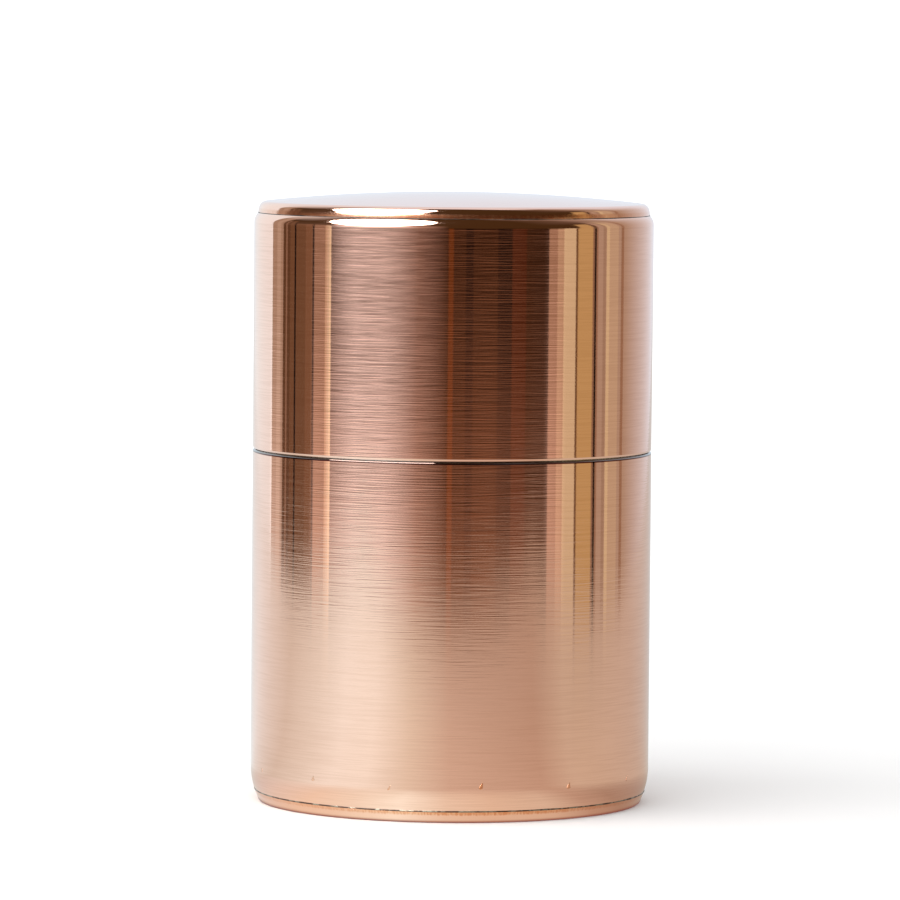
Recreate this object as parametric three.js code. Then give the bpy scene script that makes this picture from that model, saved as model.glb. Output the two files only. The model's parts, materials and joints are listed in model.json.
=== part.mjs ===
// A round copper tea caddy: a double-walled body, a plug-in inner lid with a knob,
// and a deep outer lid that slides over the canister's neck.
// Millimetres, +Z up, origin at the centre of the circle that the caddy stands on.
import * as THREE from 'three';

// Outer form
const outerRadius = 37.5;
const overallHeight = 114.6;
const baseSeamHeight = 2.2;
const bodyRimHeight = 66.2;
const lidGap = 0.2;
const topSeamHeight = 110.5;
const seamRadius = 36.76;

// Sheet thicknesses and fits
const copperSheet = 0.6;
const plateSheet = 0.75;
const tinplate = 0.4;
const slidingFit = 0.05;
const solderGap = 0.03;

// Copper edges
const bottomCurlRadius = 13;
const topCurlRadius = 2.5;
const topPlateEdgeRadius = 1.4;
const topPlateEdgeRise = 0.95;
const topPlateEdgeLean = 7;
const footCornerRadius = 0.6;
const footLean = 0.62;
const footRingInnerRadius = 31;
const baseRecess = 0.6;
const lidEdgeChamfer = 0.38;
const lidEdgeDraft = 0.13;
const rimChamfer = 0.25;

// Tinplate canister, its neck and the inner lid
const canisterRadius = 36.4;
const canisterFootHeight = 3.4;
const canisterFloorHeight = 5;
const neckLength = 30;
const innerLidSkirtDepth = 12;
const knobRadius = 7;
const knobFootRadius = 5.4;
const knobHeight = 8.6;
const rivetRadius = 1.5;
const rivetHeadRadius = 3.2;
const rivetHeadHeight = 0.8;
const washerRadius = 4.6;

// Lid lining
const liningRaise = 0.2;
const liningTopHeight = 40.9;

const wallSegments = 60;
const smallSegments = 32;
const curlSteps = 3;
const domeSteps = 4;

const radians = THREE.MathUtils.degToRad;
const degrees = THREE.MathUtils.radToDeg;
const copper = () => new THREE.MeshStandardMaterial({ color: 0xcf8f6b, roughness: 0.28, metalness: 1 });
const tin = () => new THREE.MeshStandardMaterial({ color: 0xb9bcbd, roughness: 0.35, metalness: 1 });
const solder = () => new THREE.MeshStandardMaterial({ color: 0x8f9092, roughness: 0.5, metalness: 1 });
const brass = () => new THREE.MeshStandardMaterial({ color: 0xc8a15a, roughness: 0.25, metalness: 1 });

// Points on an arc about (r, z). Degrees are counted from +r towards +z.
function arc(r, z, radius, from, to, steps) {
  return Array.from({ length: steps + 1 }, (_, i) => {
    const angle = radians(from + ((to - from) * i) / steps);
    return [r + radius * Math.cos(angle), z + radius * Math.sin(angle)];
  });
}

// A solid of revolution about Z. The outline is a list of [r, z], counterclockwise,
// that either starts and ends on the axis or is closed here on its first point.
function turned(name, outline, material, segments = wallSegments) {
  const points = outline.map(([r, z]) => new THREE.Vector2(r, z));
  const onAxis = points[0].x === 0 && points[points.length - 1].x === 0;
  if (!onAxis) points.push(points[0].clone());
  const geometry = new THREE.LatheGeometry(points, segments);
  geometry.rotateX(Math.PI / 2);
  const mesh = new THREE.Mesh(geometry, material);
  mesh.name = name;
  return mesh;
}

// A plain ring of rectangular section.
function ring(name, inner, outer, low, high, material, segments = wallSegments) {
  return turned(name, [[inner, low], [outer, low], [outer, high], [inner, high]], material, segments);
}

// A solder fillet in the corner between a cylinder of that radius, which it touches from
// inside, and a level face. The leg points up for a positive size and down for a negative one.
function fillet(name, radius, height, leg) {
  const corners = [[radius - Math.abs(leg), height], [radius, height], [radius, height + leg]];
  return turned(name, leg > 0 ? corners : corners.reverse(), solder());
}

// A round tinplate pan: a level panel with its rim turned down to the given depth.
function pan(name, radius, top, depth) {
  const low = top - depth;
  const under = top - tinplate;
  return turned(name, [
    [0, under], [radius - 2 * tinplate, under], [radius - tinplate, under - tinplate],
    [radius - tinplate, low], [radius, low], [radius, top - tinplate],
    [radius - tinplate, top], [0, top],
  ], tin());
}

// ---- Body ----

// Copper sleeve whose lower edge is curled in to meet the base plate.
function bodyOuterWall() {
  const centre = outerRadius - bottomCurlRadius;
  const turn = degrees(Math.acos((seamRadius - centre) / bottomCurlRadius));
  const start = baseSeamHeight + bottomCurlRadius * Math.sin(radians(turn));
  const inner = outerRadius - copperSheet;
  return turned('body_outer_wall', [
    ...arc(centre, start, bottomCurlRadius, -turn, 0, curlSteps),
    [outerRadius, bodyRimHeight - rimChamfer],
    [outerRadius - rimChamfer, bodyRimHeight],
    [inner, bodyRimHeight],
    ...arc(centre, start, bottomCurlRadius - copperSheet, 0, -turn, curlSteps),
  ], copper());
}

// Copper dish: a recessed panel inside a flat foot ring, with a rim that leans out to the seam.
function basePlate() {
  const top = baseSeamHeight - 2 * solderGap;
  const footRadius = seamRadius - footLean - footCornerRadius;
  const inner = seamRadius - plateSheet - 0.1;
  const step = 2 * baseRecess;
  return turned('base_plate', [
    [0, baseRecess], [footRingInnerRadius - step, baseRecess], [footRingInnerRadius, 0],
    ...arc(footRadius, footCornerRadius, footCornerRadius, -90, -15, curlSteps),
    [seamRadius, top], [inner, top], [inner, top - plateSheet],
    [inner - plateSheet, plateSheet], [footRingInnerRadius, plateSheet],
    [footRingInnerRadius - step, plateSheet + baseRecess], [0, plateSheet + baseRecess],
  ], copper());
}

// Solder bead along the inside of the joint between the wall's curl and the base plate.
function baseSolderRing() {
  const flange = seamRadius - plateSheet - 0.1 - solderGap;
  const low = baseSeamHeight - 0.6;
  return turned('base_solder_ring', [
    [flange - 0.5, baseSeamHeight - 0.3], [flange, low], [flange, baseSeamHeight + solderGap],
    [flange + 0.2, baseSeamHeight + 0.3], [flange + 0.36, baseSeamHeight + 0.9], [flange, baseSeamHeight + 0.8],
  ], solder());
}

// Tinplate tube that holds the tea. Its upper end stands out of the body as the neck.
function canisterWall() {
  const inner = canisterRadius - tinplate;
  return ring('canister_wall', inner, canisterRadius, canisterFootHeight, bodyRimHeight + neckLength, tin());
}

function canisterFloor() {
  const radius = canisterRadius - tinplate - slidingFit;
  return pan('canister_floor', radius, canisterFloorHeight, canisterFloorHeight - canisterFootHeight);
}

function canisterFloorSolder() {
  const radius = canisterRadius - tinplate - solderGap;
  return fillet('canister_floor_solder', radius, canisterFloorHeight + solderGap, 0.8);
}

// Solder that fills the gap between the two walls just below the body's rim.
function shoulderSolderRing() {
  const outer = outerRadius - copperSheet - solderGap;
  const high = bodyRimHeight - 0.1;
  return ring('shoulder_solder_ring', canisterRadius + solderGap, outer, high - 1.2, high, solder());
}

function body() {
  const group = new THREE.Group();
  group.add(
    bodyOuterWall(), basePlate(), baseSolderRing(), canisterWall(),
    canisterFloor(), canisterFloorSolder(), shoulderSolderRing(),
  );
  return group;
}

// ---- Inner lid, drawn with z = 0 at the canister's mouth ----

function innerLidDisc() {
  const hole = rivetRadius + slidingFit;
  const edge = canisterRadius - 0.1;
  const low = solderGap;
  const high = low + tinplate;
  return turned('inner_lid_disc', [
    [hole, low], [edge - 0.1, low], [edge, low + 0.1], [edge, high - 0.1], [edge - 0.1, high], [hole, high],
  ], tin());
}

function innerLidSkirt() {
  const outer = canisterRadius - tinplate - slidingFit;
  return ring('inner_lid_skirt', outer - tinplate, outer, -innerLidSkirtDepth, 0, tin());
}

function innerLidSkirtSolder() {
  const radius = canisterRadius - 2 * tinplate - slidingFit - solderGap;
  return fillet('inner_lid_skirt_solder', radius, 0, -0.7);
}

// Turned knob, wider at the top, with a blind hole for its rivet.
function innerLidKnob() {
  const foot = 2 * solderGap + tinplate;
  const top = foot + knobHeight;
  const bore = rivetRadius + slidingFit;
  const boreTop = top - 3;
  const shoulder = 1.6;
  return turned('inner_lid_knob', [
    [0, boreTop], [bore, boreTop], [bore, foot], [knobFootRadius, foot],
    [knobFootRadius, foot + 1], [knobRadius, top - 2 * shoulder],
    ...arc(knobRadius - shoulder, top - shoulder, shoulder, 0, 75, curlSteps), [0, top],
  ], brass(), smallSegments);
}

function knobWasher() {
  const low = -tinplate;
  return ring('knob_washer', rivetRadius + slidingFit, washerRadius, low, 0, brass(), smallSegments);
}

// Rivet up through the washer and the disc into the knob.
function knobRivet() {
  const headTop = -tinplate - solderGap;
  const shankTop = knobHeight - 3;
  return turned('knob_rivet', [
    [0, headTop - rivetHeadHeight], [rivetHeadRadius - 0.9, headTop - rivetHeadHeight],
    [rivetHeadRadius, headTop - 0.25], [rivetHeadRadius, headTop],
    [rivetRadius, headTop], [rivetRadius, shankTop], [0, shankTop],
  ], brass(), smallSegments);
}

function innerLid() {
  const group = new THREE.Group();
  group.position.z = bodyRimHeight + neckLength;
  group.add(
    innerLidDisc(), innerLidSkirt(), innerLidSkirtSolder(),
    innerLidKnob(), knobWasher(), knobRivet(),
  );
  return group;
}

// ---- Outer lid, drawn with z = 0 at its lower edge ----

const lidFootHeight = bodyRimHeight + lidGap;
const lidSeam = topSeamHeight - lidFootHeight;

// Copper sleeve whose upper edge is turned in to meet the top plate.
function lidOuterWall() {
  const centre = outerRadius - topCurlRadius;
  const turn = degrees(Math.acos((seamRadius - centre) / topCurlRadius));
  const start = lidSeam - topCurlRadius * Math.sin(radians(turn));
  return turned('lid_outer_wall', [
    [outerRadius - copperSheet, 0], [outerRadius - lidEdgeDraft, 0], [outerRadius, lidEdgeChamfer],
    ...arc(centre, start, topCurlRadius, 0, turn, curlSteps),
    ...arc(centre, start, topCurlRadius - copperSheet, turn, 0, curlSteps),
  ], copper());
}

// Copper plate pressed to a shallow dome. Its edge leans in from the seam, then rounds over
// into the dome, whose arc it meets at a tangent.
function lidTopPlate() {
  const lean = radians(topPlateEdgeLean);
  const edgeTop = seamRadius - topPlateEdgeRise * Math.tan(lean);
  const edge = edgeTop - topPlateEdgeRadius * Math.cos(lean);
  const edgeHeight = lidSeam + topPlateEdgeRise - topPlateEdgeRadius * Math.sin(lean);
  const rise = overallHeight - lidFootHeight - edgeHeight - topPlateEdgeRadius;
  const span = (edge * edge + rise * rise) / (2 * rise);
  const turn = degrees(Math.asin(edge / span));
  const domeCentre = edgeHeight + rise - span;
  const outer = span + topPlateEdgeRadius;
  const inner = topPlateEdgeRadius - plateSheet;
  const low = lidSeam + solderGap;
  return turned('lid_top_plate', [
    ...arc(0, domeCentre, outer - plateSheet, 90, 90 - turn, domeSteps).map(onAxisFirst),
    ...arc(edge, edgeHeight, inner, 90 - turn, topPlateEdgeLean, curlSteps).slice(1),
    [seamRadius - plateSheet, low], [seamRadius, low],
    ...arc(edge, edgeHeight, topPlateEdgeRadius, topPlateEdgeLean, 90 - turn, curlSteps),
    ...arc(0, domeCentre, outer, 90 - turn, 90, domeSteps).slice(1).map(onAxisLast),
  ], copper());
}

// An arc that reaches the axis ends exactly on it.
const onAxisFirst = ([r, z], i) => (i === 0 ? [0, z] : [r, z]);
const onAxisLast = ([r, z], i) => (i === domeSteps - 1 ? [0, z] : [r, z]);

// Solder bead along the inside of the joint between the lid's wall and its top plate.
function lidTopSolderRing() {
  const flange = seamRadius - plateSheet - solderGap;
  return turned('lid_top_solder_ring', [
    [flange - 0.6, lidSeam - 0.2], [flange + 0.2, lidSeam - 0.5], [flange + 0.5, lidSeam - 0.2],
    [flange + 0.5, lidSeam - solderGap], [flange, lidSeam - solderGap],
    [flange - 0.12, lidSeam + 0.8],
  ], solder());
}

const liningRadius = outerRadius - copperSheet - slidingFit;

function lidLiningSleeve() {
  return ring('lid_lining_sleeve', liningRadius - tinplate, liningRadius, liningRaise, liningTopHeight + 1.2, tin());
}

// Ceiling of the lid: a pan set upside down, with its rim turned up along the sleeve.
function lidLiningDisc() {
  const mesh = pan('lid_lining_disc', liningRadius - tinplate - solderGap, 0, 1.2);
  mesh.rotation.x = Math.PI;
  mesh.position.z = liningTopHeight;
  return mesh;
}

function lidLiningSolder() {
  const radius = liningRadius - tinplate - solderGap;
  return fillet('lid_lining_solder', radius, liningTopHeight - solderGap, -0.7);
}

function outerLid() {
  const group = new THREE.Group();
  group.position.z = lidFootHeight;
  group.add(
    lidOuterWall(), lidTopPlate(), lidTopSolderRing(),
    lidLiningSleeve(), lidLiningDisc(), lidLiningSolder(),
  );
  return group;
}

const caddy = new THREE.Group();
caddy.add(body(), innerLid(), outerLid());

export default caddy;
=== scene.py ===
"""Looks of a brushed copper tea caddy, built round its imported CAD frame.

Each CAD node is replaced by a piece that is turned finely from the node's own outline. Solder
beads, nicks and lap seams are added to them. Lengths are in metres, and Z runs up the axis.
"""
import json
import math
import random

import bpy
from mathutils import Matrix, Vector, noise

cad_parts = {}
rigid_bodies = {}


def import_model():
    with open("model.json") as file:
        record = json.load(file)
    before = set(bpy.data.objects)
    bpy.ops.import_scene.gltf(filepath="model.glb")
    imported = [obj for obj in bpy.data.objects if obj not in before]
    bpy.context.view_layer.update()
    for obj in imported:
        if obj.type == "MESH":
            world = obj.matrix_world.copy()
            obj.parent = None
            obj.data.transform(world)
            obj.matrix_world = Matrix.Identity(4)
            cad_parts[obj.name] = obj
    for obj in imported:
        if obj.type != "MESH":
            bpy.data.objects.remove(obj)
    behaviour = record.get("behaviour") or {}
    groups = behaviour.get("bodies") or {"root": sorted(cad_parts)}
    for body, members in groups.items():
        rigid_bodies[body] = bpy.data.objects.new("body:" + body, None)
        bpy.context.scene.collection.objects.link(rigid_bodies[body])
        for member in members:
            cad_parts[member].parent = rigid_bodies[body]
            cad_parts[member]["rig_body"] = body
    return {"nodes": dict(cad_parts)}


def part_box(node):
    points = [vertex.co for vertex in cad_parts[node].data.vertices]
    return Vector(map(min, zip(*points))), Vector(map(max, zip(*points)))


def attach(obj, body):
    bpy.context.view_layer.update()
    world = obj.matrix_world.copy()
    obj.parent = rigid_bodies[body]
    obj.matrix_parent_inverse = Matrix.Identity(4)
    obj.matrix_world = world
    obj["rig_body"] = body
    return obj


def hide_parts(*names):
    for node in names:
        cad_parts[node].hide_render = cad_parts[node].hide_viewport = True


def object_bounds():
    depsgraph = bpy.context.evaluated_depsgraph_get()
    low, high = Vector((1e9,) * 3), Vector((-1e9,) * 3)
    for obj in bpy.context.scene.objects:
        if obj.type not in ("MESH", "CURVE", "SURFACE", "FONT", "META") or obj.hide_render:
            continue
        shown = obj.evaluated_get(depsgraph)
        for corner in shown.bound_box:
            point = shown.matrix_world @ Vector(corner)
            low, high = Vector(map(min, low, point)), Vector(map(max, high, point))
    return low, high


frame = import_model()
cad_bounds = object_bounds()

MM = 0.001
MICRON = 1e-6

# ---------------------------------------------------------------- camera

CAMERA_PLACE = (0, -1.160, 0.1415)
LENS = 247.2
LOOKS_DOWN, LEANS, LOOKS_LEFT = 3.72, 0.5, 0.0195


def make_camera():
    """A long lens a little above the lid, looking slightly down. Its angles are in degrees."""
    data = bpy.data.cameras.new("camera")
    data.sensor_width = 36
    data.lens = LENS
    camera = bpy.data.objects.new("camera", data)
    bpy.context.scene.collection.objects.link(camera)
    pitch = Matrix.Rotation(math.radians(90 - LOOKS_DOWN), 4, "X")
    roll = Matrix.Rotation(math.radians(LEANS), 4, "Z")
    turn = Matrix.Rotation(math.radians(LOOKS_LEFT), 4, "Z")
    camera.matrix_world = Matrix.Translation(CAMERA_PLACE) @ turn @ pitch @ roll
    bpy.context.scene.camera = camera
    bpy.context.scene.view_settings.view_transform = "Standard"


make_camera()

# ---------------------------------------------------------------- node helpers


def add_node(tree, kind, inputs=None, **settings):
    """A shader node. An input is a value, or a socket to link from."""
    node = tree.nodes.new(kind)
    for name, value in settings.items():
        setattr(node, name, value)
    for name, value in (inputs or {}).items():
        if isinstance(value, bpy.types.NodeSocket):
            tree.links.new(value, node.inputs[name])
        else:
            node.inputs[name].default_value = value
    return node


def maths(tree, operation, *values):
    """The result of one sum. Each value is a number, or a socket to link from."""
    inputs = dict(enumerate(values))
    return add_node(tree, "ShaderNodeMath", inputs, operation=operation).outputs[0]


def spread(tree, value, low, high, to_low=0.0, to_high=1.0):
    """Maps low..high to to_low..to_high, clamped."""
    inputs = {"Value": value, "From Min": low, "From Max": high, "To Min": to_low, "To Max": to_high}
    return add_node(tree, "ShaderNodeMapRange", inputs).outputs[0]


def mixed(tree, factor, first, second, blend="MIX"):
    """A blend of two colours."""
    node = add_node(tree, "ShaderNodeMix", data_type="RGBA", blend_type=blend)
    for index, value in ((0, factor), (6, first), (7, second)):
        if isinstance(value, bpy.types.NodeSocket):
            tree.links.new(value, node.inputs[index])
        else:
            node.inputs[index].default_value = value
    return node.outputs[2]


def grain(tree, scale, detail=2.0, roughness=0.5):
    """Noise in object space, with its own scale along X, Y and Z, in cells per metre."""
    place = add_node(tree, "ShaderNodeTexCoord").outputs["Object"]
    inputs = {"Vector": place, "Scale": scale}
    stretched = add_node(tree, "ShaderNodeMapping", inputs).outputs[0]
    inputs = {"Vector": stretched, "Scale": 1.0, "Detail": detail, "Roughness": roughness}
    return add_node(tree, "ShaderNodeTexNoise", inputs).outputs["Fac"]


def object_place(tree):
    """The X, Y and Z of the shaded point, in metres from the caddy's origin."""
    place = add_node(tree, "ShaderNodeTexCoord").outputs["Object"]
    return add_node(tree, "ShaderNodeSeparateXYZ", {0: place}).outputs


def new_material(name):
    """A material with its tree and its Principled shader."""
    material = bpy.data.materials.new(name)
    material.use_nodes = True
    return material, material.node_tree, material.node_tree.nodes["Principled BSDF"]


def roughen(tree, shader, height, depth, strength=1.0):
    """Bumps the shader's surface by a height from 0 to 1 or so, which stands for a depth."""
    inputs = {"Strength": strength, "Distance": depth, "Height": height}
    bump = add_node(tree, "ShaderNodeBump", inputs)
    tree.links.new(bump.outputs[0], shader.inputs["Normal"])


def colour(red, green, blue):
    return (red, green, blue, 1.0)


# ---------------------------------------------------------------- materials

_, base_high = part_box("base_plate")
lid_low, lid_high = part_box("lid_outer_wall")
wall_low, wall_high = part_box("body_outer_wall")

COPPER = colour(0.955, 0.638, 0.538)
DEEP_COPPER = colour(0.90, 0.54, 0.42)
GROOVE_COPPER = colour(0.55, 0.30, 0.21)
SCUFFED_COPPER = colour(0.86, 0.46, 0.29)
REDDENED_COPPER = colour(0.75, 0.31, 0.16)
# Painted shade in the gap where the lid's edge meets the body's rim.
RIM_GAP_SHADE = colour(0.10, 0.012, 0.008)
DULLED_EDGE = colour(0.24, 0.23, 0.235)


def brushed_copper():
    """Sheet brushed round the wall: fine level streaks, shallower toward the foot."""
    material, tree, shader = new_material("brushed_copper")
    fine = grain(tree, (110, 110, 4200), 1.0)
    wide = grain(tree, (50, 50, 1900), 1.0)
    broad = grain(tree, (30, 30, 700), 1.0)
    cloud = grain(tree, (18, 18, 30), 2.0)
    streak = maths(tree, "MULTIPLY_ADD", wide, 0.35, fine)
    streak = maths(tree, "MULTIPLY_ADD", broad, 0.15, streak)
    sheet = mixed(tree, spread(tree, cloud, 0.3, 0.7, 0.0, 0.3), COPPER, DEEP_COPPER)
    groove = spread(tree, streak, 0.65, 0.95, 0.0, 0.14)
    sheet = mixed(tree, groove, sheet, GROOVE_COPPER)
    tree.links.new(spread(tree, streak, 0.6, 0.95, 0.072, 0.050), shader.inputs["Roughness"])
    height = object_place(tree)["Z"]
    tree.links.new(shaded_rim(tree, height, broad, sheet), shader.inputs["Base Color"])
    worn = spread(tree, height, 20 * MM, 62 * MM, 0.55, 1.0)
    roughen(tree, shader, maths(tree, "MULTIPLY", streak, worn), 8 * MICRON)
    tangent = add_node(tree, "ShaderNodeTangent", direction_type="RADIAL", axis="Z")
    tree.links.new(tangent.outputs[0], shader.inputs["Tangent"])
    shader.inputs["Metallic"].default_value = 1
    shader.inputs["Anisotropic"].default_value = 1.0
    shader.inputs["Anisotropic Rotation"].default_value = 0.25
    return material


def shaded_rim(tree, height, ragged, sheet):
    """The sheet's colour, with painted shade just under the body's rim where the lid's edge meets it,
    and dull on the rim's chamfer.
    """
    top = wall_high.z
    frayed = maths(tree, "MULTIPLY_ADD", ragged, 0.3 * MM, height)
    below_lid = maths(tree, "LESS_THAN", height, top + 0.05 * MM)
    # Painted shade in the gap under the lid's edge.
    at_rim = maths(tree, "MULTIPLY", spread(tree, frayed, top - 0.35 * MM, top - 0.25 * MM), below_lid)
    on_chamfer = spread(tree, height, top - 0.28 * MM, top - 0.22 * MM)
    return mixed(tree, at_rim, sheet, mixed(tree, on_chamfer, RIM_GAP_SHADE, DULLED_EDGE))


def polished_copper(name, deep, strip=None):
    """Buffed copper, as deep in tone as asked, from 0 up. Inside a strip it is reddened and rubbed.

    A strip is two heights, and which of them has a ragged edge: 1 for the upper, -1 for the lower."""
    material, tree, shader = new_material(name)
    haze = grain(tree, (60, 60, 60), 3.0)
    scratch = grain(tree, (2600, 2600, 260), 1.0)
    level = grain(tree, (60, 60, 2400), 1.0)
    marks = maths(tree, "MULTIPLY_ADD", scratch, 0.6, level)
    tone = mixed(tree, spread(tree, haze, 0.35, 0.7, deep, deep + 0.35), COPPER, DEEP_COPPER)
    gloss = spread(tree, haze, 0.3, 0.7, 0.05, 0.09)
    if strip:
        rubbed = grain(tree, (2600, 2600, 420), 2.0)
        inside = strip_mask(tree, rubbed, *strip)
        reddened = mixed(tree, spread(tree, rubbed, 0.35, 0.6), SCUFFED_COPPER, REDDENED_COPPER)
        tone = mixed(tree, inside, tone, reddened)
        gloss = maths(tree, "MULTIPLY_ADD", inside, 0.17, gloss)
        marks = maths(tree, "MULTIPLY_ADD", maths(tree, "MULTIPLY", inside, rubbed), 6.0, marks)
    tree.links.new(tone, shader.inputs["Base Color"])
    tree.links.new(gloss, shader.inputs["Roughness"])
    roughen(tree, shader, marks, 1 * MICRON)
    shader.inputs["Metallic"].default_value = 1
    return material


def strip_mask(tree, rubbed, low, high, ragged):
    """1 inside the strip and 0 outside it. It is fainter toward both sides."""
    parts = object_place(tree)
    fray = maths(tree, "MULTIPLY_ADD", rubbed, 0.4 * MM, -0.2 * MM)
    height = maths(tree, "ADD", parts["Z"], fray)
    soft = 0.16 * MM
    above = spread(tree, height if ragged < 0 else parts["Z"], low - soft, low + soft)
    below = spread(tree, height if ragged > 0 else parts["Z"], high - soft, high + soft, 1.0, 0.0)
    left = spread(tree, parts["X"], -37 * MM, 0.0, 0.3, 1.0)
    right = spread(tree, parts["X"], 18 * MM, 36 * MM, 1.0, 0.2)
    side = maths(tree, "MULTIPLY", left, right)
    return maths(tree, "MULTIPLY", maths(tree, "MULTIPLY", above, below), side)


def tinplate():
    """Bright tinned steel with drawn lines, fingered smudges and a faint spangle."""
    material, tree, shader = new_material("tinplate")
    lines = grain(tree, (30, 30, 1800), 2.0)
    smudge = grain(tree, (55, 55, 40), 4.0, 0.6)
    spangle = grain(tree, (260, 260, 260), 1.0)
    dirt = maths(tree, "MULTIPLY_ADD", smudge, 0.6, maths(tree, "MULTIPLY", lines, 0.3))
    bright, dull = colour(0.82, 0.79, 0.77), colour(0.64, 0.61, 0.58)
    tone = mixed(tree, spread(tree, dirt, 0.3, 0.65), bright, dull)
    tree.links.new(tone, shader.inputs["Base Color"])
    tree.links.new(spread(tree, smudge, 0.3, 0.7, 0.16, 0.34), shader.inputs["Roughness"])
    roughen(tree, shader, maths(tree, "MULTIPLY_ADD", spangle, 0.8, lines), 4 * MICRON, 0.5)
    shader.inputs["Metallic"].default_value = 1
    return material


def solder(name, lead, residue, stained):
    """Dull solder, pitted. Flux residue covers it where the noise is above the stained level."""
    material, tree, shader = new_material(name)
    pits = grain(tree, (1800, 1800, 1800), 2.0)
    flux = grain(tree, (520, 520, 200), 4.0, 0.75)
    stain = spread(tree, flux, stained, stained + 0.1)
    tree.links.new(mixed(tree, stain, lead, residue), shader.inputs["Base Color"])
    tree.links.new(spread(tree, pits, 0.3, 0.7, 0.3, 0.5), shader.inputs["Roughness"])
    tree.links.new(spread(tree, stain, 0.0, 1.0, 1.0, 0.2), shader.inputs["Metallic"])
    roughen(tree, shader, pits, 20 * MICRON, 0.6)
    return material


def turned_brass():
    """Brass with the lathe's fine rings and a little tarnish."""
    material, tree, shader = new_material("turned_brass")
    rings = grain(tree, (50, 50, 4000), 1.0)
    tarnish = grain(tree, (300, 300, 300), 4.0, 0.6)
    bright, dull = colour(0.91, 0.75, 0.42), colour(0.62, 0.46, 0.22)
    tone = mixed(tree, spread(tree, tarnish, 0.45, 0.75), bright, dull)
    tree.links.new(tone, shader.inputs["Base Color"])
    tree.links.new(spread(tree, tarnish, 0.35, 0.7, 0.12, 0.3), shader.inputs["Roughness"])
    roughen(tree, shader, maths(tree, "MULTIPLY_ADD", tarnish, 0.5, rings), 5 * MICRON, 0.5)
    shader.inputs["Metallic"].default_value = 1
    return material


UNDER_BASE_SEAM = (base_high.z - 0.65 * MM, base_high.z + MM, -1)
OVER_TOP_SEAM = (lid_high.z - MM, lid_high.z + 0.85 * MM, 1)
ROUND_FOOT = (base_high.z, base_high.z + 9 * MM, 1)

BRUSHED = brushed_copper()
POLISHED = polished_copper("polished_copper", 0.0)
BASE_COPPER = polished_copper("base_copper", 0.65, UNDER_BASE_SEAM)
TOP_COPPER = polished_copper("top_copper", 0.0, OVER_TOP_SEAM)
NICKED = polished_copper("nicked_copper", 0.0, ROUND_FOOT)
TIN = tinplate()
SOLDER = solder("solder", colour(0.34, 0.32, 0.27), colour(0.05, 0.022, 0.012), 0.44)
DARK_SOLDER = solder("dark_solder", colour(0.12, 0.10, 0.08), colour(0.01, 0.006, 0.004), 0.36)
BRASS = turned_brass()

# ---------------------------------------------------------------- outlines

TINY = 1e-6
# A bend of the outline past SHARP is a corner. A gentler one is part of a curve, unless the
# lengths beside it differ by more than UNEVEN, which is where a curve meets a straight.
SHARP = math.radians(38)
UNEVEN = 2.2
# A cubic follows an arc when its handles are about a third of its chord.
HANDLE = 0.337
# Rows of the fine mesh: one for each STEP of bend, and one for each ROW of length.
STEP = math.radians(3)
ROW = 4 * MM
# A corner that bends by less than CREASE stays as it is. A rounded one takes at most ROOM of
# the shorter length beside it, in CORNER_STEPS steps.
CREASE = math.radians(8)
ROOM = 0.42
CORNER_STEPS = 4


def outline_of(node):
    """The CAD node's section at azimuth 0: (radius, height) points in order, and whether they close."""
    mesh = frame["nodes"][node].data
    points = {}
    for vertex in mesh.vertices:
        if abs(vertex.co.y) < TINY and vertex.co.x > -TINY:
            points[vertex.index] = (round(vertex.co.x, 6), round(vertex.co.z, 6))
    joined = {}
    for edge in mesh.edges:
        first, second = (points.get(index) for index in edge.vertices)
        if first and second and first != second:
            joined.setdefault(first, set()).add(second)
            joined.setdefault(second, set()).add(first)
    ends = sorted(point for point in joined if len(joined[point]) == 1)
    walk = [ends[0] if ends else min(joined)]
    while True:
        onward = sorted(joined[walk[-1]] - set(walk))
        if not onward:
            break
        walk.append(onward[0])
    closed = not ends
    area = sum(a[0] * b[1] - b[0] * a[1] for a, b in zip(walk, walk[1:] + walk[:1]))
    if area < 0:
        walk.reverse()
    return [Vector(point) for point in walk], closed


def turn_between(first, second):
    """The signed angle from one direction to the next, positive to the left."""
    return math.atan2(first.x * second.y - first.y * second.x, first.dot(second))


def mirrored(direction, chord):
    """The tangent at one end of an arc, from the tangent at its other end."""
    along = chord.normalized()
    return 2 * direction.dot(along) * along - direction


def tangents_of(points, closed):
    """The direction of travel just before and just after each point.

    A point on a curve has one direction, and where a curve meets a straight, that direction is
    the straight's. At a corner each side keeps its own."""
    count = len(points)
    chords = [points[(i + 1) % count] - points[i] for i in range(count)]
    even = {}
    kinds = []
    for i in range(count):
        before, after = chords[i - 1], chords[i]
        at_end = not closed and i in (0, count - 1)
        sharp = at_end or abs(turn_between(before, after)) > SHARP
        shorter, longer = sorted((before.length, after.length))
        uneven = longer > UNEVEN * shorter
        kinds.append("sharp" if sharp else "uneven" if uneven else "even")
        if kinds[-1] == "even":
            blend = before.normalized() * after.length + after.normalized() * before.length
            even[i] = blend.normalized()
    result = []
    for i in range(count):
        before, after = chords[i - 1], chords[i]
        if kinds[i] == "even":
            result.append((even[i], even[i]))
            continue
        previous, following = (i - 1) % count, (i + 1) % count
        arriving = mirrored(even[previous], before) if previous in even else before.normalized()
        leaving = mirrored(even[following], after) if following in even else after.normalized()
        if kinds[i] == "uneven":
            arriving = leaving = arriving if before.length > after.length else leaving
        result.append((arriving, leaving))
    return result


def bezier(first, leaving, second, arriving, t):
    """The point at t, from 0 to 1, on the cubic between two points with those directions."""
    reach = (second - first).length * HANDLE
    a, b = first + leaving * reach, second - arriving * reach
    s = 1 - t
    return first * s**3 + a * 3 * s * s * t + b * 3 * s * t * t + second * t**3


def slope_of(first, leaving, second, arriving, t):
    """The cubic's direction at t."""
    small = 0.001
    low, high = max(0, t - small), min(1, t + small)
    step = bezier(first, leaving, second, arriving, high) - bezier(first, leaving, second, arriving, low)
    return step.normalized()


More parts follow.
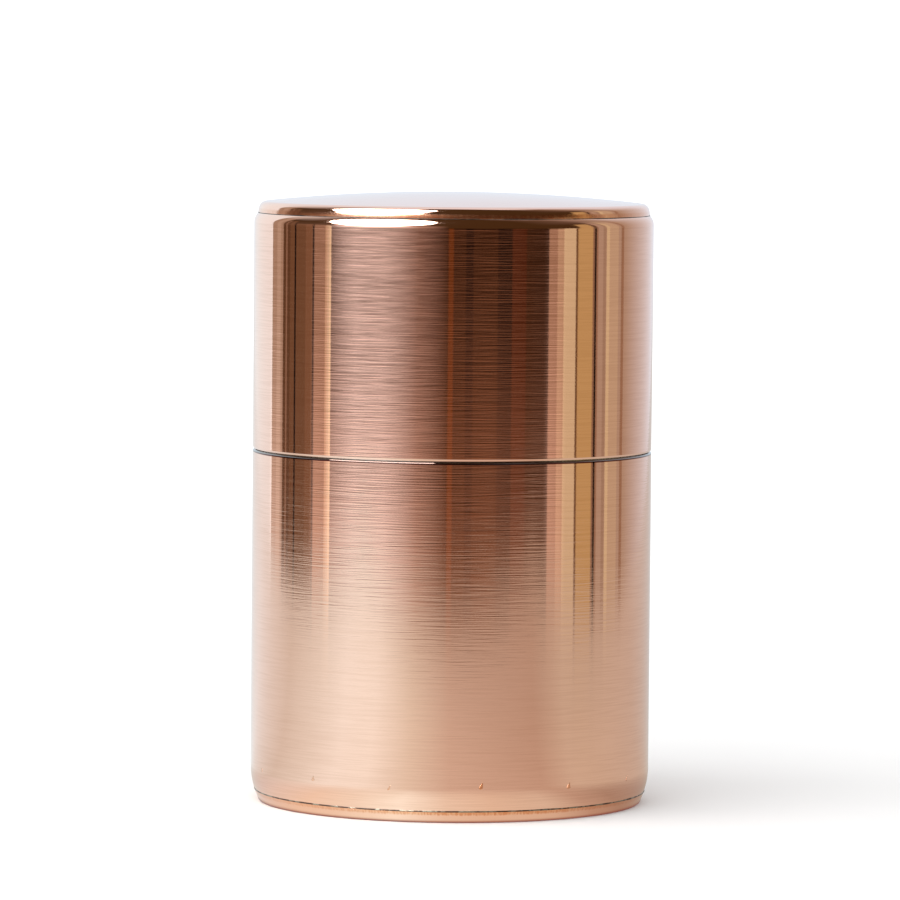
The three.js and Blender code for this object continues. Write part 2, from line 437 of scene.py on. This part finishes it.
def smooth_outline(node, edge):
    """The node's outline with its curves refined and its sharp corners rounded by edge.

    Each item is (point, direction of travel)."""
    points, closed = outline_of(node)
    tangents = tangents_of(points, closed)
    count = len(points)
    spans = count if closed else count - 1
    cuts = {}
    for i in range(count):
        if not closed and i in (0, count - 1):
            continue
        angle = turn_between(*tangents[i])
        if abs(angle) > CREASE:
            before, after = points[i] - points[i - 1], points[(i + 1) % count] - points[i]
            shorter = min(before.length, after.length)
            cuts[i] = min(edge * math.tan(abs(angle) / 2), ROOM * shorter)
    samples = []
    for i in range(spans):
        j = (i + 1) % count
        first, second = points[i], points[j]
        leaving, arriving = tangents[i][1], tangents[j][0]
        length = (second - first).length
        start = cuts.get(i, 0) / length
        stop = 1 - cuts.get(j, 0) / length
        bend = abs(turn_between(leaving, arriving))
        steps = max(1, math.ceil(bend / STEP), math.ceil(length / ROW))
        for k in range(steps + 1):
            t = start + (stop - start) * k / steps
            place = bezier(first, leaving, second, arriving, t)
            samples.append((place, slope_of(first, leaving, second, arriving, t)))
        if j in cuts:
            samples.extend(corner(samples[-1], points, tangents, cuts, j))
    return tidy(samples, closed), closed


def corner(last, points, tangents, cuts, j):
    """The samples inside a rounded corner, without its two ends."""
    count = len(points)
    k = (j + 1) % count
    first, second = points[j], points[k]
    t = cuts[j] / (second - first).length
    end = bezier(first, tangents[j][1], second, tangents[k][0], t)
    way = slope_of(first, tangents[j][1], second, tangents[k][0], t)
    start, heading = last
    inner = []
    for n in range(1, CORNER_STEPS):
        s = n / CORNER_STEPS
        place = (1 - s)**2 * start + 2 * s * (1 - s) * points[j] + s * s * end
        inner.append((place, ((1 - s) * heading + s * way).normalized()))
    return inner


def drawn_in(samples, edge, side):
    """Draws the outer face in toward its edge, as rolled sheet springs.

    Side is 1 for a top edge, and -1 for a bottom edge."""
    reach, depth, skin = 14 * MM, 0.022 * MM, 0.3 * MM
    outer = max(place.x for place, _ in samples)
    bent = []
    for place, way in samples:
        near = 1 - abs(place.y - edge) / reach
        if near > 0 and place.x > outer - skin:
            slope = -2 * side * depth * near / reach
            place = Vector((place.x - depth * near * near, place.y))
            way = Vector((way.x + slope * way.y, way.y)).normalized()
        bent.append((place, way))
    return bent


def tidy(samples, closed):
    """Leaves out samples that repeat the one before."""
    kept = [samples[0]]
    for sample in samples[1:]:
        if (sample[0] - kept[-1][0]).length > TINY:
            kept.append(sample)
    if closed and (kept[-1][0] - kept[0][0]).length < TINY:
        kept.pop()
    return kept


# ---------------------------------------------------------------- meshes

AROUND = 240


def add_object(name, vertices, faces, materials, normals=None, choose=None):
    """A smooth mesh object. Choose gives a face's material number from its centre."""
    mesh = bpy.data.meshes.new(name)
    mesh.from_pydata(vertices, [], faces)
    mesh.validate()
    for material in materials:
        mesh.materials.append(material)
    mesh.shade_smooth()
    if choose:
        for polygon in mesh.polygons:
            polygon.material_index = choose(polygon.center)
    if normals:
        mesh.normals_split_custom_set_from_vertices(normals)
    piece = bpy.data.objects.new(name, mesh)
    bpy.context.scene.collection.objects.link(piece)
    return piece


def turned(name, samples, closed, materials, around=AROUND, choose=None):
    """Turns an outline about the Z axis, with exact normals."""
    vertices, normals, rows = [], [], []
    for place, way in samples:
        normal = Vector((way.y, -way.x))
        on_axis = place.x < TINY
        row = []
        for k in range(1 if on_axis else around):
            angle = 2 * math.pi * k / around
            c, s = math.cos(angle), math.sin(angle)
            row.append(len(vertices))
            vertices.append((place.x * c, place.x * s, place.y))
            outward = (normal.x * c, normal.x * s, normal.y)
            normals.append((0, 0, math.copysign(1, normal.y)) if on_axis else outward)
        rows.append(row)
    faces = []
    pairs = list(zip(rows, rows[1:]))
    if closed:
        pairs.append((rows[-1], rows[0]))
    for low, high in pairs:
        for k in range(around):
            n = (k + 1) % around
            quad = (low[k % len(low)], low[n % len(low)], high[n % len(high)], high[k % len(high)])
            quad = tuple(dict.fromkeys(quad))
            if len(quad) > 2:
                faces.append(quad)
    return add_object(name, vertices, faces, materials, normals, choose)


def stand_in(node, name, materials, edge, around=AROUND, choose=None, reshape=None):
    """Replaces a CAD node by a finely turned piece on the same body."""
    samples, closed = smooth_outline(node, edge)
    if reshape:
        samples = reshape(samples)
    piece = turned(name, samples, closed, materials, around, choose)
    body = frame["nodes"][node]["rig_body"]
    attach(piece, body)
    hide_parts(node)


def skinned(name, rings, materials, looped):
    """Joins rings of points into a tube, looped round or capped at both ends."""
    size = len(rings[0])
    vertices = [point for ring in rings for point in ring]
    faces = []
    count = len(rings)
    for i in range(count if looped else count - 1):
        j = (i + 1) % count
        for k in range(size):
            n = (k + 1) % size
            faces.append((i * size + k, i * size + n, j * size + n, j * size + k))
    if not looped:
        faces.append(tuple(reversed(range(size))))
        faces.append(tuple((count - 1) * size + k for k in range(size)))
    return add_object(name, vertices, faces, materials)


def polar(radius, angle, height):
    """The point at that radius, azimuth and height."""
    return Vector((radius * math.cos(angle), radius * math.sin(angle), height))


# ---------------------------------------------------------------- the caddy's pieces

POLISHED_TOP = 1.75 * MM
POLISHED_EDGE = 0.38 * MM


def lid_wall_material(centre):
    """The turned-in top of the lid's wall and its lower edge are polished; the rest is brushed."""
    polished = centre.z > lid_high.z - POLISHED_TOP or centre.z < lid_low.z + POLISHED_EDGE
    return 1 if polished else 0


def body_wall_shape(samples):
    return drawn_in(samples, wall_high.z, 1)


def lid_wall_shape(samples):
    return drawn_in(samples, lid_low.z, -1)


# The length in each call is how far that piece's sharp corners are rounded.
stand_in("body_outer_wall", "body_wall", [BRUSHED], 0.03 * MM,
         reshape=body_wall_shape)
stand_in("lid_outer_wall", "lid_wall", [BRUSHED, POLISHED], 0.05 * MM,
         choose=lid_wall_material, reshape=lid_wall_shape)
stand_in("base_plate", "base_dish", [BASE_COPPER], 0.15 * MM)
stand_in("lid_top_plate", "lid_dome", [TOP_COPPER], 0.1 * MM)

TIN_PIECES = {
    "canister_wall": "canister_tube",
    "canister_floor": "canister_pan",
    "inner_lid_disc": "inner_lid_cover",
    "inner_lid_skirt": "inner_lid_collar",
    "lid_lining_sleeve": "lid_sleeve",
    "lid_lining_disc": "lid_ceiling",
}
SOLDER_PIECES = {
    "base_solder_ring": "base_solder_fillet",
    "canister_floor_solder": "canister_floor_fillet",
    "shoulder_solder_ring": "shoulder_fillet",
    "inner_lid_skirt_solder": "inner_lid_fillet",
    "lid_top_solder_ring": "lid_top_fillet",
    "lid_lining_solder": "lid_ceiling_fillet",
}
BRASS_PIECES = {
    "inner_lid_knob": "inner_lid_grip",
    "knob_washer": "grip_washer",
    "knob_rivet": "grip_rivet",
}
for node, name in TIN_PIECES.items():
    stand_in(node, name, [TIN], 0.12 * MM)
for node, name in SOLDER_PIECES.items():
    stand_in(node, name, [SOLDER], 0.1 * MM)
for node, name in BRASS_PIECES.items():
    stand_in(node, name, [BRASS], 0.25 * MM, around=96)


def solder_line(name, body, radius, height, thick, seed, material):
    """The uneven bead of solder that shows in a joint between two copper sheets."""
    steps, sides = 720, 8
    slow, quick, swell = 9, 60, 0.35
    rings = []
    for i in range(steps):
        angle = 2 * math.pi * i / steps
        wander = noise.noise(polar(slow, angle, seed)) + 0.5 * noise.noise(polar(quick, angle, seed))
        size = thick * (1 + swell * wander)
        ring = []
        for k in range(sides):
            turn = -2 * math.pi * k / sides
            ring.append(polar(radius + size * math.cos(turn), angle, height + size * math.sin(turn)))
        rings.append(ring)
    piece = skinned(name, rings, [material], looped=True)
    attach(piece, body)


SEAM_RADIUS = 36.76 * MM
solder_line("base_seam_bead", "body", SEAM_RADIUS - 0.05 * MM, wall_low.z, 0.15 * MM, 3, SOLDER)
solder_line("lid_seam_bead", "outer_lid", SEAM_RADIUS - 0.08 * MM, lid_high.z, 0.13 * MM, 8, DARK_SOLDER)

NICKS = 14
FIRST_NICK, NICK_SPACING = -81.4, 25.7
# A nick is a thin skin that stands this far out of the wall.
NICK_PROUD = 0.004 * MM


def nick(chance, azimuth):
    """The rings of one slanted nick, broadest near its foot and pointed at its top."""
    angle = math.radians(azimuth + chance.uniform(-2, 2))
    height = wall_low.z + chance.uniform(4.2, 5.0) * MM
    tall, broad = chance.uniform(0.5, 0.75) * MM, chance.uniform(0.18, 0.42) * MM
    slant = chance.uniform(-0.1, 0.5)
    rows, sides = 6, 8
    rings = []
    for row in range(rows + 1):
        up = -1 + 2 * row / rows
        size = min(1.0, 3 * (1 + up)) * (1 - up) * 0.6 + 0.02
        ring = []
        for k in range(sides):
            turn = 2 * math.pi * k / sides
            across = broad * size * math.cos(turn) + slant * tall * up
            radius = wall_high.x + NICK_PROUD * size * math.sin(turn)
            ring.append(polar(radius, angle + across / wall_high.x, height + tall * up))
        rings.append(ring)
    return rings


def base_nicks():
    """Small marks all round, left near the foot by the tool that curled the wall in."""
    chance = random.Random(5)
    vertices, faces = [], []
    for i in range(NICKS):
        rings = nick(chance, FIRST_NICK + NICK_SPACING * i)
        sides, last = len(rings[0]), len(rings) - 1
        start = len(vertices)
        vertices.extend(point for ring in rings for point in ring)
        for row in range(last):
            low, high = start + row * sides, start + (row + 1) * sides
            for k in range(sides):
                n = (k + 1) % sides
                faces.append((low + n, low + k, high + k, high + n))
        faces.append(tuple(start + k for k in range(sides)))
        faces.append(tuple(start + last * sides + k for k in reversed(range(sides))))
    piece = add_object("base_nicks", vertices, faces, [NICKED])
    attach(piece, "body")


base_nicks()

BACK = math.pi / 2
LAP_WIDTH, LAP_THICK = 4.0 * MM, 0.14 * MM
# The lap's section: how far across its half width, and how far out of its thickness.
LAP_SECTION = ((-1, -0.2), (-1, 0.75), (-0.9, 1.0), (0, 1.0), (0.9, 1.0), (1, -0.2))


def lap_bead(face, centre, outer):
    """The rings of the solder that runs up one side of a lap."""
    half_width, proud, sides = 0.2 * MM, 0.09 * MM, 8
    sway, sways_per_metre = 0.03 * MM, 400
    rings = []
    for place in face:
        wander = sway * noise.noise(Vector((0, 0, place.y * sways_per_metre)))
        ring = []
        for k in range(sides):
            turn = 2 * math.pi * k / sides
            angle = centre + (half_width * math.cos(turn) - wander) / outer
            ring.append(polar(place.x + proud * math.sin(turn), angle, place.y))
        rings.append(ring)
    return rings


def lap_seam(name, node, body):
    """The strip at the back where the rolled sheet overlaps itself, with solder along one side."""
    samples, _ = smooth_outline(node, 0.12 * MM)
    outer = max(place.x for place, _ in samples)
    upright, skin = 0.7, 0.8 * MM
    face = [place for place, way in samples if way.y > upright and place.x > outer - skin]
    half = LAP_WIDTH / 2 / outer
    rings = []
    for place in face:
        rings.append([polar(place.x + out * LAP_THICK, BACK + across * half, place.y)
                      for across, out in LAP_SECTION])
    strip = skinned(name + "_lap", rings, [BRUSHED], looped=False)
    line = skinned(name + "_lap_solder", lap_bead(face, BACK - half, outer), [SOLDER], looped=False)
    for piece, slot in ((strip, "brushed_copper"), (line, "solder")):
        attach(piece, body)


lap_seam("body", "body_outer_wall", "body")
lap_seam("lid", "lid_outer_wall", "outer_lid")

# ---------------------------------------------------------------- studio

# Azimuths are in degrees from the camera's side of the caddy, positive to the camera's right.

# The tints of the cards that stand round the caddy and show in its walls.
TINTS = {
    "white": (0.93, 1.06, 1.10),
    "taupe": (0.45, 0.36, 0.27),
    "mauve": (0.37, 0.28, 0.20),
    "black": (0.006, 0.002, 0.001),
    "dark": (0.03, 0.012, 0.004),
    "bistre": (0.105, 0.055, 0.026),
    "umber": (0.155, 0.085, 0.042),
    "walnut": (0.20, 0.11, 0.058),
    "rust": (0.11, 0.03, 0.004),
    "russet": (0.055, 0.014, 0.004),
    "chestnut": (0.26, 0.165, 0.105),
    "brown": (0.32, 0.205, 0.13),
    "sand": (0.47, 0.345, 0.22),
    "buff": (0.54, 0.45, 0.31),
    "cream": (0.66, 0.58, 0.37),
    "ochre": (0.53, 0.39, 0.17),
}
# Where each card begins. It runs on to the next one.
CARDS = [
    (-180, "white"), (-128.1, "mauve"), (-122.6, "taupe"), (-118.6, "mauve"), (-115.4, "bistre"),
    (-113.9, "chestnut"), (-112, "bistre"), (-108.6, "umber"), (-105.1, "black"),
    (-103.7, "umber"), (-95, "walnut"), (-88.7, "black"), (-87.3, "chestnut"), (-79.6, "sand"),
    (-77.6, "buff"), (-76.2, "cream"), (-74.8, "dark"), (-4, "rust"), (-0.5, "dark"),
    (7, "black"), (10.5, "dark"), (24.5, "black"), (33, "russet"), (41, "dark"), (55, "brown"),
    (61, "sand"), (65.5, "cream"), (73.8, "umber"), (74.9, "ochre"), (86, "chestnut"),
    (87.8, "black"), (88.9, "brown"),
]
# The cards past these, on a ramp of their own, because a ramp holds only 32 stops.
FAR_CARDS = [
    (-180, "brown"), (91.2, "taupe"), (94.8, "mauve"), (97.6, "cream"), (100.4, "buff"),
    (109.3, "taupe"), (111.5, "brown"), (115.3, "taupe"),
]
# How high the cards reach, as the sine of the elevation, how soft their tops are, the gloom
# above them, and the backdrop behind the caddy, which the cards fade into at both ends.
CARD_TOPS = [
    (-180, 1), (-114.5, 0.35), (-106, 0.16), (-76, 0.1), (-4, 0.06), (55, 0.03), (65.5, 0.05),
    (76, 0.45), (87.5, 0.65), (115.5, 1),
]
SOFT_TOP = 0.012
GLOOM = (0.065, 0.034, 0.012)
BACKDROP = (0.815, 0.903, 1.0)
CARD_FADES = ((117, 160.2), (-154.8, -180))
# The same room well above the cards, between two more such heights, where one tone runs
# softly into the next.
UPPER_ROOM_FROM, UPPER_ROOM_FULL = 0.42, 0.66
UPPER_ROOM = [
    (-180, BACKDROP), (-150, (0.88, 0.99, 1.05)), (-125, (0.62, 0.62, 0.60)),
    (-95, (0.12, 0.075, 0.045)), (-60, GLOOM), (50, GLOOM), (85, (0.14, 0.09, 0.06)),
    (115, (0.42, 0.34, 0.27)), (150, BACKDROP), (180, BACKDROP),
]
# Light that the softbox throws into the studio: azimuth, strength and warmth. It is low at the
# table's edge, level just above that, and high above the horizon.
LOW_GLOW = [
    (-180, 0, 0), (-131, 0, 0), (-128, 0.34, 0.1), (-118, 0.34, 0.1), (-115, 0.04, 0.5),
    (-90, 0.02, 0.5), (-87, 0.5, 0.5), (-79, 0.45, 0.5), (-74, 0.78, 0.3), (-58, 1.2, 0.1),
    (-40, 1.1, 0.15), (-20, 0.55, 0.6), (-3, 0.2, 1.0), (20, 0.25, 1.0), (44, 0.15, 1.0),
    (54, 0.16, 0.8), (57, 0.42, 0.5), (65, 0.3, 0.5), (68, 0, 0),
]
LEVEL_GLOW = [
    (-180, 0, 0), (-75.5, 0, 0), (-75, 0.02, 0.3), (-58, 0.04, 0.1), (-40, 0.04, 0.15),
    (-20, 0.0, 0.6), (180, 0, 0),
]
HIGH_GLOW = [
    (-180, 0, 0), (-100, 0.03, 0.5), (-76, 0.06, 0.5), (-74, 0.3, 0.2), (-68, 0.85, 0.1),
    (-58, 1.35, 0.1), (-40, 1.25, 0.15), (-20, 0.42, 0.6), (-3, 0.0, 1), (60, 0, 1),
]
# The heights of the three glows, and where the high one starts and stops fading out.
LOW, LEVEL, HIGH, HIGH_FADES, HIGH_ENDS = -0.082, -0.044, 0.03, 0.25, 0.45
# How much of its green and of its blue a glow loses at full warmth.
GREEN_LOST, BLUE_LOST = 0.5, 0.72
# A bright ceiling straight above, only on the far side of the vertical from the camera.
OVERHEAD = (0.95, 1.0, 1.04)
CEILING_FROM, CEILING_FULL = 0.90, 0.97
CEILING_FRONT, CEILING_BACK = -0.06, 0.04
# The world as the camera and as dull surfaces see it.
SEEN_WHITE = 1.15
DULL_WHITE = 0.98

# The table as the caddy sees it, by azimuth: white by the softbox, dimmer and warmer beyond.
TABLE = [
    (-180, (0.80, 0.86, 0.88)), (-140, (0.88, 0.98, 1.0)), (-100, (0.74, 0.76, 0.69)),
    (-77, (0.87, 0.95, 0.89)), (-58, (1.01, 1.14, 1.10)), (-40, (1.0, 1.11, 1.05)),
    (-20, (0.83, 0.83, 0.71)), (0, (0.70, 0.605, 0.495)), (45, (0.59, 0.475, 0.37)),
    (63, (0.67, 0.61, 0.49)), (75, (0.65, 0.59, 0.47)), (120, (0.60, 0.55, 0.47)),
    (160, (0.62, 0.63, 0.62)), (180, (0.80, 0.86, 0.88)),
]
# The table close to the caddy, in its glow on the left and front and in its shade on the right.
NEAR_TABLE = [
    (-180, (0.60, 0.60, 0.58)), (-90, (0.76, 0.74, 0.70)), (-65, (0.88, 0.85, 0.76)),
    (-51, (0.94, 0.88, 0.73)), (-35, (0.97, 0.99, 0.86)), (-16, (1.08, 1.22, 1.12)),
    (-1, (0.89, 0.86, 0.72)), (14, (0.82, 0.74, 0.59)), (33, (0.74, 0.68, 0.55)),
    (48, (0.56, 0.45, 0.35)), (64, (0.44, 0.34, 0.26)), (90, (0.44, 0.37, 0.31)),
    (140, (0.50, 0.45, 0.40)), (180, (0.60, 0.60, 0.58)),
]
NEAR_TABLE_TO, OPEN_TABLE_FROM = 45 * MM, 75 * MM
# The open table dims a little toward its front right.
DIM, DIM_SLANT = 0.91, -0.8
DIM_FROM, DIM_FULL = -0.12, -0.30
# Painted shadow: the dark line where the foot meets the table.
CONTACT_SHADOW = (0.22, 0.05, 0.05)
CONTACT_SHADOW_TO, CONTACT_SHADOW_GONE = 35.6 * MM, 36.8 * MM

FLOOR_HEIGHT = -0.02 * MM
PAPER_REACH = 12
TABLE_FRONT_LEFT, TABLE_BACK_RIGHT = (-0.52, -0.44), (0.45, 6)
# The paper's own light close to the caddy and far from it, and how far each goes.
PAPER_NEAR, PAPER_FAR = 0.06, 0.5
PAPER_NEAR_TO, PAPER_FAR_FROM = 0.25, 1.2


def turn_at(azimuth):
    """An azimuth as a share of the whole turn, from 0 at -180 degrees to 1 at 180."""
    return (azimuth + 180) / 360


def turn_of(tree, parts):
    """The same for the direction that is shaded, from its X and Y."""
    azimuth = maths(tree, "ARCTAN2", parts["X"], maths(tree, "MULTIPLY", parts["Y"], -1.0))
    return maths(tree, "MULTIPLY_ADD", azimuth, 0.5 / math.pi, 0.5)


def ramp_round(tree, turn, stops, interpolation="LINEAR"):
    """A colour by azimuth round the caddy."""
    ramp = add_node(tree, "ShaderNodeValToRGB", {0: turn})
    ramp.color_ramp.interpolation = interpolation
    elements = ramp.color_ramp.elements
    elements.remove(elements[1])
    elements[0].position = 0
    elements[0].color = colour(*stops[0][1])
    for azimuth, tint in stops[1:]:
        elements.new(turn_at(azimuth)).color = colour(*tint)
    return ramp.outputs[0]


def glow_round(tree, turn, stops):
    """A glow by azimuth, from strengths and warmths."""
    tints = [(azimuth, (size, size * (1 - GREEN_LOST * warmth), size * (1 - BLUE_LOST * warmth)))
             for azimuth, size, warmth in stops]
    return ramp_round(tree, turn, tints)


def cards_round(tree, turn, height):
    """The cards, the gloom above them and the backdrop behind."""
    near, far = ([(azimuth, TINTS[tint]) for azimuth, tint in cards] for cards in (CARDS, FAR_CARDS))
    past = maths(tree, "GREATER_THAN", turn, turn_at(FAR_CARDS[1][0]))
    cards = mixed(tree, past, ramp_round(tree, turn, near, "CONSTANT"),
                  ramp_round(tree, turn, far, "CONSTANT"))
    tops = [(azimuth, (top, top, top)) for azimuth, top in CARD_TOPS]
    above = maths(tree, "SUBTRACT", height, ramp_round(tree, turn, tops, "CONSTANT"))
    cards = mixed(tree, spread(tree, above, -SOFT_TOP, SOFT_TOP), cards, colour(*GLOOM))
    upper = spread(tree, height, UPPER_ROOM_FROM, UPPER_ROOM_FULL)
    cards = mixed(tree, upper, cards, ramp_round(tree, turn, UPPER_ROOM))
    for start, end in CARD_FADES:
        faded = spread(tree, turn, turn_at(start), turn_at(end))
        cards = mixed(tree, faded, cards, colour(*BACKDROP))
    return cards


def glow_by_height(tree, turn, height):
    """The softbox's light on the studio, from the table's edge up."""
    low, level, high = (glow_round(tree, turn, stops) for stops in (LOW_GLOW, LEVEL_GLOW, HIGH_GLOW))
    glow = mixed(tree, spread(tree, height, LOW, LEVEL), low, level)
    glow = mixed(tree, spread(tree, height, LEVEL, HIGH), glow, high)
    return mixed(tree, spread(tree, height, HIGH_FADES, HIGH_ENDS), glow, colour(0, 0, 0))


def make_world():
    """Backdrop and cards by direction for reflections, plain white for everything else."""
    world = bpy.data.worlds.new("studio")
    bpy.context.scene.world = world
    world.use_nodes = True
    tree = world.node_tree
    tree.nodes.clear()
    way = add_node(tree, "ShaderNodeTexCoord").outputs["Generated"]
    parts = add_node(tree, "ShaderNodeSeparateXYZ", {0: way}).outputs
    turn, height = turn_of(tree, parts), parts["Z"]
    glow = glow_by_height(tree, turn, height)
    studio = mixed(tree, 1.0, cards_round(tree, turn, height), glow, "ADD")
    ceiling = maths(tree, "MULTIPLY", spread(tree, height, CEILING_FROM, CEILING_FULL),
                    spread(tree, parts["Y"], CEILING_FRONT, CEILING_BACK))
    studio = mixed(tree, ceiling, studio, colour(*OVERHEAD))
    rays = add_node(tree, "ShaderNodeLightPath").outputs
    seen, dull = (colour(level, level, level) for level in (SEEN_WHITE, DULL_WHITE))
    shown = mixed(tree, rays["Is Camera Ray"], studio, seen)
    shown = mixed(tree, rays["Is Diffuse Ray"], shown, dull)
    background = add_node(tree, "ShaderNodeBackground", {"Color": shown, "Strength": 1.0})
    output = add_node(tree, "ShaderNodeOutputWorld")
    tree.links.new(background.outputs[0], output.inputs[0])


LIGHT_AZIMUTH = -50
LIGHT_DISTANCE = 1.3


def round_light(name, radiance, elevation, across, tint):
    """A round soft light that faces the caddy from the camera's left."""
    data = bpy.data.lights.new(name, "AREA")
    data.shape = "DISK"
    data.size = across
    data.energy = radiance * math.pi * math.pi * across**2 / 4
    data.color = tint
    light = bpy.data.objects.new(name, data)
    bpy.context.scene.collection.objects.link(light)
    a, e = math.radians(LIGHT_AZIMUTH), math.radians(elevation)
    aim = Vector((math.sin(a) * math.cos(e), -math.cos(a) * math.cos(e), math.sin(e)))
    target = Vector((0, 0, cad_bounds[1].z * 0.5))
    light.location = target + aim * LIGHT_DISTANCE
    light.rotation_euler = aim.to_track_quat("Z", "Y").to_euler()
    return light


def make_lights():
    """The softbox that the copper reflects, and a broader light that only dull surfaces get."""
    softbox = round_light("softbox", radiance=9.0, elevation=41, across=1.36, tint=(1, 0.97, 0.90))
    softbox.visible_diffuse = False
    key = round_light("key", radiance=1.45, elevation=36, across=2.2, tint=(1, 1, 1))
    key.visible_glossy = False


def paper_material():
    """Pale matt paper, faintly mottled, lit from within as a light table is, more so far off."""
    material, tree, shader = new_material("pale_floor")
    mottle = grain(tree, (40, 40, 40), 3.0)
    tree.links.new(mixed(tree, mottle, colour(0.80, 0.80, 0.80), colour(0.82, 0.82, 0.82)),
                   shader.inputs["Base Color"])
    shader.inputs["Roughness"].default_value = 0.9
    shader.inputs["Specular IOR Level"].default_value = 0
    place = add_node(tree, "ShaderNodeTexCoord").outputs["Object"]
    away = add_node(tree, "ShaderNodeVectorMath", {0: place}, operation="LENGTH").outputs["Value"]
    near, far = (colour(level, level, level) for level in (PAPER_NEAR, PAPER_FAR))
    lit = mixed(tree, spread(tree, away, PAPER_NEAR_TO, PAPER_FAR_FROM), near, far)
    tree.links.new(lit, shader.inputs["Emission Color"])
    shader.inputs["Emission Strength"].default_value = 1.0
    return material


def table_material():
    """The table's light as it reaches the caddy."""
    material, tree, _ = new_material("table_glow")
    parts = object_place(tree)
    turn = turn_of(tree, parts)
    open_table, near_table = (ramp_round(tree, turn, stops) for stops in (TABLE, NEAR_TABLE))
    flat = add_node(tree, "ShaderNodeCombineXYZ", {"X": parts["X"], "Y": parts["Y"]}).outputs[0]
    away = add_node(tree, "ShaderNodeVectorMath", {0: flat}, operation="LENGTH").outputs["Value"]
    glow = mixed(tree, spread(tree, away, NEAR_TABLE_TO, OPEN_TABLE_FROM), near_table, open_table)
    back_left = maths(tree, "MULTIPLY_ADD", parts["X"], DIM_SLANT, parts["Y"])
    dimmed = spread(tree, back_left, DIM_FULL, DIM_FROM, DIM, 1.0)
    glow = mixed(tree, dimmed, colour(0, 0, 0), glow)
    # Painted contact shadow round the caddy's foot.
    lit = mixed(tree, spread(tree, away, CONTACT_SHADOW_TO, CONTACT_SHADOW_GONE), colour(*CONTACT_SHADOW), glow)
    emission = add_node(tree, "ShaderNodeEmission", {"Color": lit, "Strength": 1.0})
    tree.links.new(emission.outputs[0], tree.nodes["Material Output"].inputs["Surface"])
    return material


def slab(name, low, high, material):
    """A level rectangle just under the caddy's foot."""
    corners = [(low[0], low[1], FLOOR_HEIGHT), (high[0], low[1], FLOOR_HEIGHT),
               (high[0], high[1], FLOOR_HEIGHT), (low[0], high[1], FLOOR_HEIGHT)]
    piece = add_object(name, corners, [(0, 1, 2, 3)], [material])
    return piece


def make_floor():
    """A wide paper floor, and the smaller table that only the caddy's reflections show."""
    paper = slab("paper", (-PAPER_REACH, -PAPER_REACH), (PAPER_REACH, PAPER_REACH), paper_material())
    paper.visible_glossy = False
    table = slab("table", TABLE_FRONT_LEFT, TABLE_BACK_RIGHT, table_material())
    for ray in ("camera", "diffuse", "transmission", "volume_scatter", "shadow"):
        setattr(table, "visible_" + ray, False)


make_world()
make_lights()
make_floor()
